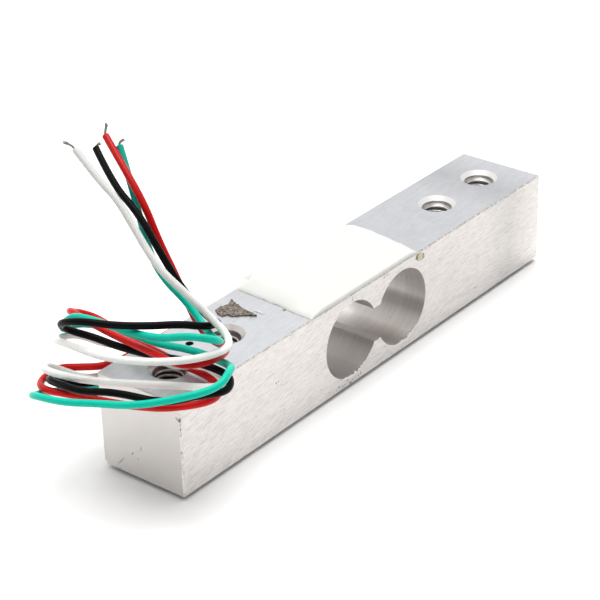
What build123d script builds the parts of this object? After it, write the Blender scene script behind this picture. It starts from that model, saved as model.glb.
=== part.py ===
from build123d import *
from math import atan2, pi, tan
import os

# Single point load cell, millimetres.
# X runs along the bar with the lead end at -X, Y runs across it, and Z is up.
# The origin lies under the middle of the bar, on the surface that the cell rests on.

# Spring element, milled from square bar
bar_length = 75.0
bar_side = 12.7
edge_break = 0.15
rest_gap = 0.5

# Two bores that run into one another and thin the bar above and below them
bore_radius = 5.2
bore_pitch = 10.6
relief_radius = 2.45

# M4 x 0.7 holes, two at each end, tapped right through
thread_radius = 2.0
countersink_radius = 2.55
end_distance = 5.5
hole_spacing = 10.0

# Small blind hole beside the lead end's holes
mark_radius = 0.5
mark_depth = 2.0
mark_from_end = 11.3
mark_offset = 1.9

# Foil strain gauges, one over each thin wall; distances behind and ahead are from the wall's thinnest line
film_behind = 3.7
film_ahead = 2.1
film_width = 4.2
film_thickness = 0.08
foil_thickness = 0.03
strand_count = 8
strand_length = 3.0
strand_width = 0.15
strand_pitch = 0.3
tab_length = 1.0
tab_width = 0.9
tab_reach = 2.9
tab_offset = 0.8
dot_radius = 0.36
dot_height = 0.27

# Enamelled jumper wires from the gauges to the terminal board
jumper_diameter = 0.16
jumper_lift = 0.22
jumper_bend = 0.11
tab_step = 0.7
upper_row = 5.4
lower_row = 2.6
row_gap = 0.4
level_pitch = 0.2
level_below_top = 0.25
fan_fall = 0.7
fan_spread = 0.15
fan_turn = 0.5
fan_pitch = 0.25
far_cross_a = -6.1
far_cross_b = -7.0
rise_step = 0.4
crossing_fall = 1.2

# Terminal board on the back face, between the holes and the bores
board_left = -16.6
board_right = -11.3
board_below_top = 0.9
board_height = 4.1
board_thickness = 0.35
pad_length = 0.8
pad_height = 0.7
pad_thickness = 0.05
pad_right = -12.6
pad_step = 1.0
joint_radius = 0.42
joint_height = 0.6
upper_wires = 0.45
lower_wires = 0.1
wire_inset = 0.1

# White silicone over the gauges, the board and the wires
top_cover_height = 1.0
top_cover_round = 0.55
lip_thickness = 0.4
lip_reach = 0.6
lip_left = -9.9
lip_right = -4.7
back_cover_thickness = 1.4
back_cover_round = 0.35
back_cover_left = -18.0
back_cover_right = -10.85
back_cover_fall = 0.7
back_cover_slope = 1.35
arm_height = 1.0
arm_slope = 1.6
arm_reach = 0.7
bottom_cover_right = 9.6
bottom_cover_margin = 1.1
bottom_cover_corner = 0.7

# Four insulated leads, in rows on the back face where they leave the silicone
lead_diameter = 0.9
core_diameter = 0.45
lead_line = 0.65
lead_row_below_top = 1.3
lead_row_pitch = 1.0
lead_start = -16.8
lead_straight_end = -21.0
lead_bend_share = 0.45

# Cured adhesive left on the top face and on the side face
residue_thickness = 0.2
spot_width = 1.8
spot_height = 1.3
spot_thickness = 0.18
spot_x = 9.3
spot_below_top = 0.95

half_length = bar_length / 2
half_side = bar_side / 2
bar_bottom = rest_gap
bar_top = bar_bottom + bar_side
bar_middle = bar_bottom + half_side
bore_x = bore_pitch / 2
outer_hole_x = half_length - end_distance
inner_hole_x = outer_hole_x - hole_spacing
board_face = half_side + board_thickness
pad_face = board_face + pad_thickness
lead_y = half_side + lead_line
back_face = half_side + back_cover_thickness

# Rows from the top down, each with its own pad, the pads stepping back along the bar
COLOURS = ["red", "white", "black", "green"]

# Height over its pad's middle at which each wire from the top ends, in the order in which they turn down
top_end_shifts = [0.15, 0.1, -0.1, 0.0]

# Outline of the top silicone as it was spread, and of the adhesive that is left beside it (x, y)
top_cover_outline = [
    (-13.2, -6.2), (-13.1, -3.4), (-12.7, -0.5), (-12.7, 2.5), (-12.5, 6.1), (9.0, 6.1),
    (10.1, 4.2), (10.1, 2.0), (9.8, 0.0), (9.4, -3.1), (8.9, -6.2),
]
residue_outline = [
    (-18.3, 4.7), (-17.4, 4.7), (-16.1, 4.4), (-15.0, 4.8), (-15.4, 4.0), (-15.7, 2.8), (-16.2, 1.5),
    (-16.1, 0.4), (-16.3, -0.4), (-16.8, 0.4), (-17.5, 1.3), (-18.2, 1.9), (-18.3, 2.8), (-19.0, 3.0),
    (-18.6, 4.2),
]

# Way of each lead after its straight start: two loose turns over the lead end, then up to the stripped end
lead_ways = {
    "white": [
        (-25.5, 7.2, 10.8), (-30.3, 7.7, 10.3), (-34.1, 8.8, 10.2), (-36.4, 9.6, 10.8), (-38.9, 11.3, 12.5),
        (-41.0, 11.7, 13.8), (-42.8, 10.5, 14.6), (-43.4, 6.9, 14.9), (-41.8, 2.6, 15.1), (-39.6, -2.9, 15.7),
        (-39.6, -8.1, 17.5), (-37.7, -12.0, 17.8), (-34.4, -12.3, 16.4), (-32.4, -9.3, 15.3),
        (-32.4, -5.5, 15.6), (-33.5, -1.9, 14.5), (-32.5, 4.1, 14.9), (-32.9, 9.4, 13.7), (-34.2, 12.5, 14.7),
        (-36.7, 13.2, 15.4), (-39.2, 11.7, 16.4), (-40.3, 7.3, 17.5), (-40.2, 3.0, 17.5), (-38.5, -1.9, 17.8),
        (-36.1, -5.3, 18.0), (-33.5, -7.1, 18.0), (-29.1, -7.5, 17.2), (-27.0, -5.6, 16.9),
        (-26.4, -2.6, 17.8), (-27.2, 0.1, 20.6), (-28.5, 3.3, 23.7), (-28.6, 6.2, 26.2), (-27.8, 10.7, 30.0),
        (-27.3, 14.1, 31.8), (-26.4, 18.6, 34.5),
    ],
    "black": [
        (-25.5, 7.4, 9.8), (-30.3, 8.2, 9.3), (-34.0, 9.4, 9.0), (-36.2, 10.5, 9.4), (-39.0, 12.7, 10.9),
        (-41.3, 11.9, 12.0), (-42.3, 8.0, 12.9), (-42.4, 4.4, 13.5), (-41.9, -0.8, 15.2), (-39.9, -7.1, 15.1),
        (-38.0, -10.6, 16.4), (-33.9, -12.1, 14.9), (-31.7, -10.3, 14.8), (-31.1, -8.0, 15.1),
        (-31.4, -4.5, 15.4), (-33.7, 0.5, 15.8), (-33.8, 6.3, 15.1), (-33.7, 10.7, 14.9), (-36.1, 12.8, 16.2),
        (-38.2, 12.1, 18.3), (-38.5, 7.6, 20.0), (-36.2, 3.9, 19.5), (-33.5, -0.1, 19.5), (-31.6, -3.4, 20.0),
        (-29.5, -5.8, 19.4), (-26.5, -5.6, 18.8), (-24.7, -2.1, 17.0), (-25.0, 0.5, 18.0), (-26.7, 2.3, 21.6),
        (-27.3, 4.4, 25.1), (-26.6, 8.6, 28.9), (-25.9, 13.0, 30.7), (-23.6, 17.5, 33.3),
    ],
    "green": [
        (-25.8, 7.1, 8.7), (-30.8, 7.2, 9.0), (-35.1, 8.4, 8.9), (-37.7, 9.5, 9.5), (-41.3, 11.2, 10.8),
        (-43.8, 10.9, 11.7), (-46.1, 9.1, 13.2), (-45.6, 4.0, 13.8), (-43.2, 0.8, 14.0), (-40.2, -3.8, 14.1),
        (-37.7, -8.4, 15.6), (-35.4, -10.8, 16.6), (-33.0, -10.7, 17.3), (-30.0, -9.3, 15.4),
        (-30.2, -3.6, 15.6), (-31.9, 1.4, 15.9), (-32.4, 5.6, 16.1), (-35.0, 11.6, 16.8), (-39.5, 10.3, 17.8),
        (-39.8, 8.0, 21.0), (-39.0, 5.6, 21.2), (-37.3, 2.2, 20.4), (-35.7, -2.6, 20.2), (-33.7, -6.6, 20.8),
        (-31.3, -8.3, 20.2), (-28.7, -7.6, 18.6), (-27.6, -4.7, 17.7), (-27.8, -2.1, 18.2), (-28.4, 0.3, 20.0),
        (-29.6, 2.3, 22.9), (-29.9, 3.8, 26.2), (-28.7, 6.0, 29.8), (-26.7, 9.3, 32.6), (-23.9, 13.3, 35.0),
    ],
    "red": [
        (-25.6, 7.2, 12.0), (-30.5, 7.4, 11.8), (-34.4, 8.1, 11.8), (-37.9, 9.4, 12.8), (-40.2, 10.1, 13.5),
        (-43.8, 9.7, 13.5), (-45.2, 7.6, 13.8), (-43.9, 3.8, 13.9), (-41.0, -1.6, 12.8), (-39.9, -5.5, 13.4),
        (-38.3, -9.8, 14.7), (-34.6, -11.0, 14.9), (-32.6, -9.7, 14.4), (-31.8, -7.0, 14.3),
        (-32.2, -2.5, 14.5), (-31.5, 4.5, 14.6), (-30.4, 9.2, 13.9), (-29.7, 13.0, 14.4), (-31.1, 14.8, 15.4),
        (-33.2, 15.0, 16.4), (-35.2, 12.9, 18.1), (-35.9, 7.6, 17.9), (-36.6, 2.3, 18.1), (-38.1, -4.1, 19.2),
        (-38.6, -8.3, 19.6), (-37.1, -10.6, 19.9), (-33.8, -11.1, 19.5), (-32.0, -9.7, 19.1),
        (-31.7, -6.4, 18.9), (-31.5, -4.1, 21.1), (-30.5, -0.8, 24.6), (-28.9, 3.3, 27.3), (-26.9, 7.4, 30.2),
        (-24.9, 12.1, 33.1), (-23.0, 16.4, 35.5),
    ],
}

# Each stripped core goes on straight for a moment, then bends; the rest of its way is relative to the lead's end
core_straight = 0.6
core_bend = 0.35
core_ways = {
    "white": [(-0.1, 1.0, 1.0), (-0.5, 1.6, 1.25)],
    "black": [(0.3, 0.5, 0.8), (0.65, 0.3, 1.05)],
    "green": [(0.45, 0.4, 0.9), (0.8, 0.1, 1.0)],
    "red": [(0.3, 0.5, 0.9), (0.65, 0.5, 1.6)],
}


def row_height(row):
    return bar_top - lead_row_below_top - row * lead_row_pitch


def pad_x(row):
    return pad_right - row * pad_step


def corner_turn(before, corner, after):
    """Angle in radians that a path turns through at a corner."""
    way_in = (Vector(*corner) - Vector(*before)).normalized()
    way_out = (Vector(*after) - Vector(*corner)).normalized()
    return atan2(way_in.cross(way_out).length, way_in.dot(way_out))


def bend_radii(points, share):
    """Radius at each corner whose arc takes a share of the shorter run beside it."""
    radii = []
    for before, corner, after in zip(points, points[1:], points[2:]):
        run = min((Vector(*corner) - Vector(*before)).length, (Vector(*after) - Vector(*corner)).length)
        half_turn = corner_turn(before, corner, after) / 2
        radii.append(share * run / tan(half_turn))
    return radii


def tube(points, diameter, radii):
    """Round wire along straight runs joined by arcs."""
    path = FilletPolyline(*points, radius=radii)
    section = Plane(origin=path @ 0, z_dir=path % 0) * Circle(diameter / 2)
    return sweep(section, path=path), path.length


def dome(radius, height):
    """Solder dot that stands on the XY plane: a flattened half ball."""
    ball = Sphere(1.0) - Pos(0, 0, -1) * Box(2, 2, 2)
    return scale(ball, by=(radius, radius, height))


def make_spring_element():
    bar = Box(bar_length, bar_side, bar_side)
    bar = chamfer(bar.edges(), edge_break)
    for side in (-1, 1):
        bar -= Pos(side * bore_x, 0, 0) * Rot(90, 0, 0) * Cylinder(bore_radius, 2 * bar_side)
        for x in (inner_hole_x, outer_hole_x):
            bar -= Pos(side * x, 0, 0) * Cylinder(thread_radius, 2 * bar_side)
            depth = countersink_radius - thread_radius
            sink = Cone(thread_radius, countersink_radius, depth)
            bar -= Pos(side * x, 0, half_side - depth / 2) * sink
            bar -= Pos(side * x, 0, -half_side + depth / 2) * Rot(180, 0, 0) * sink
    bar -= Rot(90, 0, 0) * Cylinder(relief_radius, 2 * bar_side)
    mark = Pos(0, 0, -mark_depth / 2) * Cylinder(mark_radius, mark_depth)
    mark += Pos(0, 0, -mark_depth - 0.15) * Cone(0.0, mark_radius, 0.3)
    bar -= Pos(mark_from_end - half_length, mark_offset, half_side) * mark
    return Pos(0, 0, bar_middle) * bar


def on_top(shape):
    return Pos(0, 0, bar_top) * shape


def on_bottom(shape):
    """Turn a piece drawn on the top face over onto the bottom face."""
    return Pos(0, 0, bar_bottom) * mirror(shape, about=Plane.XY)


def make_film():
    length = film_behind + film_ahead
    film = Pos((film_ahead - film_behind) / 2, 0, film_thickness / 2) * Box(length, film_width, film_thickness)
    return fillet(film.edges().filter_by(Axis.Z), 0.3)


def make_grid():
    """Foil meander: strands along the bar, loops at their ends and two solder tabs behind."""
    plan = Sketch()
    span = (strand_count - 1) * strand_pitch
    for i in range(strand_count):
        y = i * strand_pitch - span / 2
        plan += Pos(0, y) * Rectangle(strand_length, strand_width)
        if i < strand_count - 1:
            side = 1 if i % 2 == 0 else -1
            loop = Rectangle(2 * strand_width, strand_pitch + strand_width)
            plan += Pos(side * strand_length / 2, y + strand_pitch / 2) * loop
    for side in (-1, 1):
        neck = Rectangle(tab_reach - strand_length / 2, strand_width)
        plan += Pos(-(tab_reach + strand_length / 2) / 2, side * span / 2) * neck
        plan += Pos(-tab_reach, side * tab_offset) * Rectangle(tab_length, tab_width)
    return Pos(0, 0, film_thickness) * extrude(plan, foil_thickness)


def make_dots(wires):
    """Solder on the two tabs of both gauges of one face, drawn as on the top face."""
    dots = []
    for bore in (-1, 1):
        for side in (-1, 1):
            place = Pos(bore * bore_x - tab_reach, side * tab_offset, film_thickness + foil_thickness)
            dots.append(cut(place * dome(dot_radius, dot_height), wires))
    return dots


def cut(shape, tools):
    for tool in tools:
        shape -= tool
    return shape


def top_jumper_points(bore, side, turn, row):
    """Gauge tab, back edge of the top face, down over it, then along the back face to a pad."""
    tab_x = bore * bore_x - tab_reach
    height = bar_top + jumper_lift
    down = half_side + jumper_lift
    over = pad_face + upper_wires
    points = [(tab_x, side * tab_offset, height)]
    if side < 0:
        points = [(tab_x, side * tab_offset, height), (tab_x - tab_step, side * tab_offset, height)]
    cross = points[-1][0]
    if bore > 0:
        line = upper_row if side > 0 else upper_row - row_gap
        cross = far_cross_a if side > 0 else far_cross_b
        points += [(points[-1][0], line, height), (cross, line, height)]
    level = bar_top - level_below_top - turn * level_pitch
    points += [(cross, down, height), (cross, down, level), (board_right + 1.3, down, level)]
    level -= fan_fall + turn * fan_spread
    points += [(board_right + 0.25, over, level)]
    end = row_height(row) + top_end_shifts[turn]
    if turn:
        fan_x = board_right - fan_turn + (turn - 2) * fan_pitch
        points += [(fan_x, over, level), (fan_x, over, end)]
    points += [(pad_x(row) + wire_inset, over, end)]
    return points


def bottom_jumper_points(bore, side, edge_x, lift, row):
    """Gauge tab, back edge of the bottom face, then up the back face to a pad; drawn as it lies."""
    tab_x = bore * bore_x - tab_reach
    height = bar_bottom - jumper_lift
    rise = half_side + lift
    points = [(tab_x, side * tab_offset, height)]
    line = side * tab_offset
    if bore > 0:
        line = -lower_row if side > 0 else -lower_row - row_gap
        if side > 0:
            points += [(tab_x - tab_step, side * tab_offset, height)]
        points += [(points[-1][0], line, height)]
    points += [(edge_x, line, height), (edge_x, rise, height)]
    return points, rise


def make_jumpers():
    """The eight wires by name: four from the top gauges, four from the bottom ones."""
    wires = {}
    plans = {
        "jumper_top_near_b": (-1, -1, 0, 0),
        "jumper_top_near_a": (-1, 1, 1, 1),
        "jumper_top_far_b": (1, -1, 2, 1),
        "jumper_top_far_a": (1, 1, 3, 2),
    }
    for name, (bore, side, turn, row) in plans.items():
        wires[name] = tube(top_jumper_points(bore, side, turn, row), jumper_diameter, jumper_bend)[0]
    low = board_thickness + pad_thickness + lower_wires
    foot = bar_top - board_below_top - board_height - 0.6
    straight = {
        "jumper_bottom_near_a": (-1, 1, pad_x(0) + 0.15, 0),
        "jumper_bottom_far_a": (1, 1, pad_x(2) + 0.15, 2),
        "jumper_bottom_far_b": (1, -1, pad_x(3) + 0.1, 3),
    }
    for name, (bore, side, edge_x, row) in straight.items():
        points, rise = bottom_jumper_points(bore, side, edge_x, jumper_lift, row)
        points += [(edge_x, rise, foot), (edge_x, half_side + low, foot + rise_step)]
        points += [(edge_x, half_side + low, row_height(row) - 0.1)]
        wires[name] = tube(points, jumper_diameter, jumper_bend)[0]
    # This one crosses over its neighbour on the back face, so it stands further off
    crossing = low + 0.1
    points, rise = bottom_jumper_points(-1, -1, pad_x(1) + 0.2, crossing, 3)
    last_x = pad_x(3) + 0.32
    points += [(pad_x(1) + 0.2, rise, foot - crossing_fall), (last_x, rise, foot - crossing_fall)]
    points += [(last_x, rise, row_height(3) - 0.05)]
    wires["jumper_bottom_near_b"] = tube(points, jumper_diameter, jumper_bend)[0]
    return wires


def make_board():
    middle = bar_top - board_below_top - board_height / 2
    board = Box(board_right - board_left, board_thickness, board_height)
    return Pos((board_left + board_right) / 2, half_side + board_thickness / 2, middle) * board


def make_pads():
    pads = []
    for row in range(len(COLOURS)):
        pad = Box(pad_length, pad_thickness, pad_height)
        pads.append(Pos(pad_x(row), board_face + pad_thickness / 2, row_height(row)) * pad)
    return pads


def make_board_joints(wires):
    joints = []
    for row in range(len(COLOURS)):
        joint = Rot(-90, 0, 0) * dome(joint_radius, joint_height)
        joints.append(cut(Pos(pad_x(row), pad_face, row_height(row)) * joint, wires))
    return joints


def make_inner_core(row):
    """Stripped end of a lead, from its insulation to the middle of its pad."""
    length = pad_x(row) - 0.05 - lead_start
    core = Rot(0, 90, 0) * Cylinder(core_diameter / 2, length)
    return Pos(lead_start + length / 2, lead_y, row_height(row)) * core


def lead_points(colour):
    row = COLOURS.index(colour)
    start = [(lead_start, lead_y, row_height(row)), (lead_straight_end, lead_y, row_height(row))]
    return start + lead_ways[colour]


def make_outer_core(colour):
    """Stripped end that shows beyond the insulation."""
    last, end = lead_ways[colour][-2:]
    along = (Vector(*end) - Vector(*last)).normalized()
    start = Vector(*end)
    points = [start, start + along * core_straight]
    points += [start + Vector(*way) for way in core_ways[colour]]
    points = [(p.X, p.Y, p.Z) for p in points]
    radii = [min(core_bend, r) for r in bend_radii(points, lead_bend_share)]
    return tube(points, core_diameter, radii)[0]


def make_top_cover():
    slab = extrude(make_face(Polyline(*top_cover_outline, close=True)), top_cover_height)
    slab = fillet(slab.edges().group_by(Axis.Z)[-1], top_cover_round)
    width = lip_right - lip_left
    reach = half_side + lip_reach - 5.0
    lip = Box(width, reach, lip_thickness)
    lip = fillet(lip.edges().filter_by(Axis.Z).group_by(Axis.Y)[-1], 0.5)
    lip = fillet(lip.edges().group_by(Axis.Z)[-1], 0.2)
    slab += Pos(lip_left + width / 2, 5.0 + reach / 2, lip_thickness / 2) * lip
    return on_top(slab)


def make_back_cover():
    arm_bottom = bar_top - arm_height
    shoulder = bar_top - back_cover_fall
    profile = Polyline(
        (back_cover_left, bar_bottom), (back_cover_right, bar_bottom), (back_cover_right, arm_bottom - arm_slope),
        (lip_left + arm_reach, arm_bottom), (lip_right, arm_bottom), (lip_right, bar_top), (lip_left, bar_top),
        (back_cover_right - back_cover_slope, shoulder), (back_cover_left, shoulder), close=True,
    )
    plate = extrude(make_face(Plane.XZ * profile), -back_cover_thickness)
    plate = Pos(0, half_side, 0) * plate
    return fillet(plate.faces().sort_by(Axis.Y)[-1].edges(), back_cover_round)


def make_bottom_cover():
    edge = half_side - bottom_cover_margin
    plan = make_face(Polyline(
        (back_cover_left, back_face), (back_cover_left, -edge), (bottom_cover_right, -edge),
        (bottom_cover_right, edge), (back_cover_right, edge), (back_cover_right, back_face), close=True,
    ))
    slab = extrude(plan, rest_gap)
    return fillet(slab.edges().filter_by(Axis.Z), bottom_cover_corner)


def make_residue():
    flake = extrude(make_face(Polyline(*residue_outline, close=True)), residue_thickness)
    return on_top(flake)


def make_spot():
    spot = extrude(Ellipse(spot_width / 2, spot_height / 2), spot_thickness)
    spot = fillet(spot.edges().group_by(Axis.Z)[-1], 0.08)
    return Pos(spot_x, -half_side, bar_top - spot_below_top) * Rot(90, 0, 0) * spot


os.makedirs("parts", exist_ok=True)


def save(name, shape):
    if isinstance(shape, list):
        shape = Compound(children=shape)
    export_step(shape, f"parts/{name}.step")


jumpers = make_jumpers()
top_wires = [w for n, w in jumpers.items() if "top" in n]
bottom_wires = [w for n, w in jumpers.items() if "bottom" in n]
film = make_film()
grid = make_grid()
inside_top = []
inside_bottom = []
for name, bore in (("near", -1), ("far", 1)):
    for kind, shape in (("film", film), ("grid", grid)):
        placed = Pos(bore * bore_x, 0, 0) * shape
        inside_top.append(on_top(placed))
        inside_bottom.append(on_bottom(placed))
        save(f"gauge_{kind}_top_{name}", inside_top[-1])
        save(f"gauge_{kind}_bottom_{name}", inside_bottom[-1])

solder_top = [cut(on_top(dot), top_wires) for dot in make_dots([])]
solder_bottom = [cut(on_bottom(dot), bottom_wires) for dot in make_dots([])]
cores = {colour: make_inner_core(row) for row, colour in enumerate(COLOURS)}
board = make_board()
pads = make_pads()
joints = make_board_joints(list(jumpers.values()) + list(cores.values()))

leads = {}
for colour in COLOURS:
    points = lead_points(colour)
    radii = bend_radii(points, lead_bend_share)
    leads[colour], length = tube(points, lead_diameter, radii)
    share = leads[colour].volume / (length * pi * lead_diameter**2 / 4)
    print(colour, "lead: length", round(length, 1), "volume share", round(share, 3))
    print("  radii", [round(r, 1) for r in radii])

inside_back = [board, *pads, *joints, *cores.values(), *leads.values()]
save("spring_element", make_spring_element())
save("gauge_solder_top", solder_top)
save("gauge_solder_bottom", solder_bottom)
save("terminal_board", board)
save("board_pads", pads)
save("board_solder", joints)
save("top_silicone", cut(make_top_cover(), [*inside_top, *solder_top, *top_wires]))
save("back_silicone", cut(make_back_cover(), [*inside_back, *jumpers.values()]))
save("bottom_silicone", cut(make_bottom_cover(), [*inside_bottom, *solder_bottom, *bottom_wires]))
save("adhesive_residue", make_residue())
save("adhesive_spot", make_spot())
for name, wire in jumpers.items():
    save(name, wire)
for colour in COLOURS:
    save(f"core_inside_{colour}", cores[colour])
    save(f"core_end_{colour}", make_outer_core(colour))
    save(f"lead_{colour}", leads[colour])
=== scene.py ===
"""Single point load cell: a milled aluminium bar with its gauges, silicone, terminal board and four loose leads."""

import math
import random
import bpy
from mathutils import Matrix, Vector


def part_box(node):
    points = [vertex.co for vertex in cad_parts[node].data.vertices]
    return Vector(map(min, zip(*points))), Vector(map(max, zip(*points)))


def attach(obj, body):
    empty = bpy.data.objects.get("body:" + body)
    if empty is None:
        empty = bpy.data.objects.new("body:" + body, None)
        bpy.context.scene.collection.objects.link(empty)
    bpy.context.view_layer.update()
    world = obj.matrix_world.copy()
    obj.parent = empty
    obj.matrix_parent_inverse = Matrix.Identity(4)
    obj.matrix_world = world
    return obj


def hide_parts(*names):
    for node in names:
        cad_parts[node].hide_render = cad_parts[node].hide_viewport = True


bl_info = {
    "name": "Single point load cell",
    "version": (1, 0, 0),
    "blender": (4, 5, 0),
    "location": "View3D > Sidebar > Load cell",
    "description": "Builds the finished load cell around its CAD frame, piece by piece",
    "category": "Object",
}

import bmesh
import bpy
from mathutils import Matrix, Vector, noise

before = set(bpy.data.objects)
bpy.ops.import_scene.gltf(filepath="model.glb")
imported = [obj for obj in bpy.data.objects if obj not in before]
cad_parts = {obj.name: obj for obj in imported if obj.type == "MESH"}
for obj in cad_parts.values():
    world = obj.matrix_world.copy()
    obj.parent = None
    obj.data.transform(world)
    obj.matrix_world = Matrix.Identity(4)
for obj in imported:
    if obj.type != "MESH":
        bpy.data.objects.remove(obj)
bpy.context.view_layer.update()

MM = 0.001
BODY = "root"
BAR_LOW, BAR_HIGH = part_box("spring_element")
BAR_TOP = BAR_HIGH[2]
BAR_BOTTOM = BAR_LOW[2]
SIDE = BAR_HIGH[1]
COLOURS = ("red", "white", "black", "green")

# Main sizes of the bar in millimetres, for its wear and its burrs
HALF_LENGTH = 37.5
HALF_SIDE = 6.35
MID_HEIGHT = 6.85
TOP_HEIGHT = 13.2
BORE_X = 5.3
BORE_RADIUS = 5.2
RELIEF_REACH = 1.3
HOLE_PLACES = (22.0, 32.0)
SINK_RADIUS = 2.55
SINK_HEIGHT = 12.0
EDGE_BREAK = 0.15

# Where the camera stood: place in millimetres, directions in degrees, focal length in pixels of a 600-pixel frame
CAMERA_PLACE = (-182.35, -143.76, 134.14)
CAMERA_HEADING = 50.563
CAMERA_DIP = 28.459
CAMERA_ROLL = -1.789
CAMERA_FOCAL = 2059.06
FRAME_PIXELS = 600
SENSOR_WIDTH = 36.0

# The lamp in metres, and the ways in which the room is bright, seen in gloss and in matt light, with their spread
LAMP_PLACE = (0.09, 0.055, 0.56)
LAMP_TARGET = (0.0, 0.0, 0.008)
LAMP_SIZE = 0.40
BACKDROP_SIDE = (0.386, 0.318, 0.8)
BACKDROP_SPAN = (-0.15, 0.6)
SKY_SIDE = (0.2, 0.165, 0.966)
SKY_SPAN = (0.27, 0.96)

# Tones of the bar: two for the top face, which is painted darker and bluer than the sides as shade, and two for the
# painted light and shade of the bores; then the painted highlights of its countersinks and cusp, its dark specks, the
# dark tone of its dents and edge ticks, and the wear and painted highlight of its edges
TOP_SHADED_TONES = ((0.490, 0.503, 0.522), (0.620, 0.633, 0.653))
BORE_LIT_AND_SHADED_TONES = ((0.41, 0.383, 0.368), (0.86, 0.83, 0.81))
SINK_PAINTED_HIGHLIGHT = (0.93, 0.92, 0.9)
CUSP_PAINTED_HIGHLIGHT = (0.86, 0.90, 1.0)
SPECK_TONE = (0.25, 0.23, 0.22)
DARK_MARK_TONE = (0.16, 0.145, 0.135)
WEAR_AND_HIGHLIGHT_TONE = (0.95, 0.94, 0.92)

# Painted light and shade, as (millimetres, tone): how bright the bores' wall is painted by its height, and how the
# outer faces are painted darker toward the far end
BORE_PAINTED_LIGHT = [
    (1.6, 0.35), (2.1, 0.75), (3.0, 0.5), (4.1, 0.05), (4.9, 0.05), (5.3, 0.18), (5.95, 0.72), (7.2, 0.52), (9.0, 0.75),
    (12.1, 0.7),
]
BAR_PAINTED_SHADE = [(-37.5, 1.0), (-15.0, 0.985), (-5.0, 0.91), (24.0, 0.92), (30.0, 0.79), (37.5, 0.53)]

# Silicone on the top face, as it was spread (x, y in millimetres), and its lip over the back edge
TOP_FRONT = -6.33
TOP_BACK = 6.1
TOP_NEAR_EDGE = [(-6.4, -13.2), (-3.4, -13.1), (-0.5, -12.75), (2.5, -12.65), (6.2, -12.5)]
TOP_FAR_EDGE = [(-6.4, 8.85), (-3.1, 9.4), (0.0, 9.8), (2.0, 10.1), (4.2, 10.1), (6.2, 9.0)]
LIP = (-9.9, -4.7)
LIP_REACH = 0.85
BOTTOM_THICKNESS = 0.5

# Outlines of the silicone on the other faces, the dried adhesive, the crumb and the speck, in millimetres
BACK_OUTLINE = [
    (-18.0, 0.5), (-10.85, 0.5), (-10.85, 10.6), (-9.2, 12.2), (-4.7, 12.2), (-4.7, 13.2), (-9.9, 13.2),
    (-12.2, 12.5), (-18.0, 12.5),
]
BOTTOM_OUTLINE = [(-18.0, 7.75), (-18.0, -5.25), (9.6, -5.25), (9.6, 5.25), (-10.85, 5.25), (-10.85, 7.75)]
RESIDUE_OUTLINE = [
    (-18.3, 4.7), (-17.4, 4.7), (-16.1, 4.4), (-15.0, 4.8), (-15.4, 4.0), (-15.7, 2.8), (-16.2, 1.5),
    (-16.1, 0.4), (-16.3, -0.4), (-16.8, 0.4), (-17.5, 1.3), (-18.2, 1.9), (-18.3, 2.8), (-19.0, 3.0),
    (-18.6, 4.2),
]
SPOT_OUTLINE = [(8.5, 12.95), (9.4, 12.95), (10.15, 12.6), (10.2, 11.95), (9.6, 11.75), (8.85, 11.95), (8.45, 12.4)]
SPOT_MIDDLE = (9.35, 12.38)
CRUMB_OUTLINE = [(-15.6, 0.75), (-15.2, 0.6), (-15.15, 0.0), (-15.3, -0.7), (-15.5, -0.75), (-15.55, -0.1)]
SPECK_OUTLINE = [(-13.32, -1.85), (-13.1, -1.83), (-13.08, -2.08), (-13.3, -2.12)]

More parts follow.
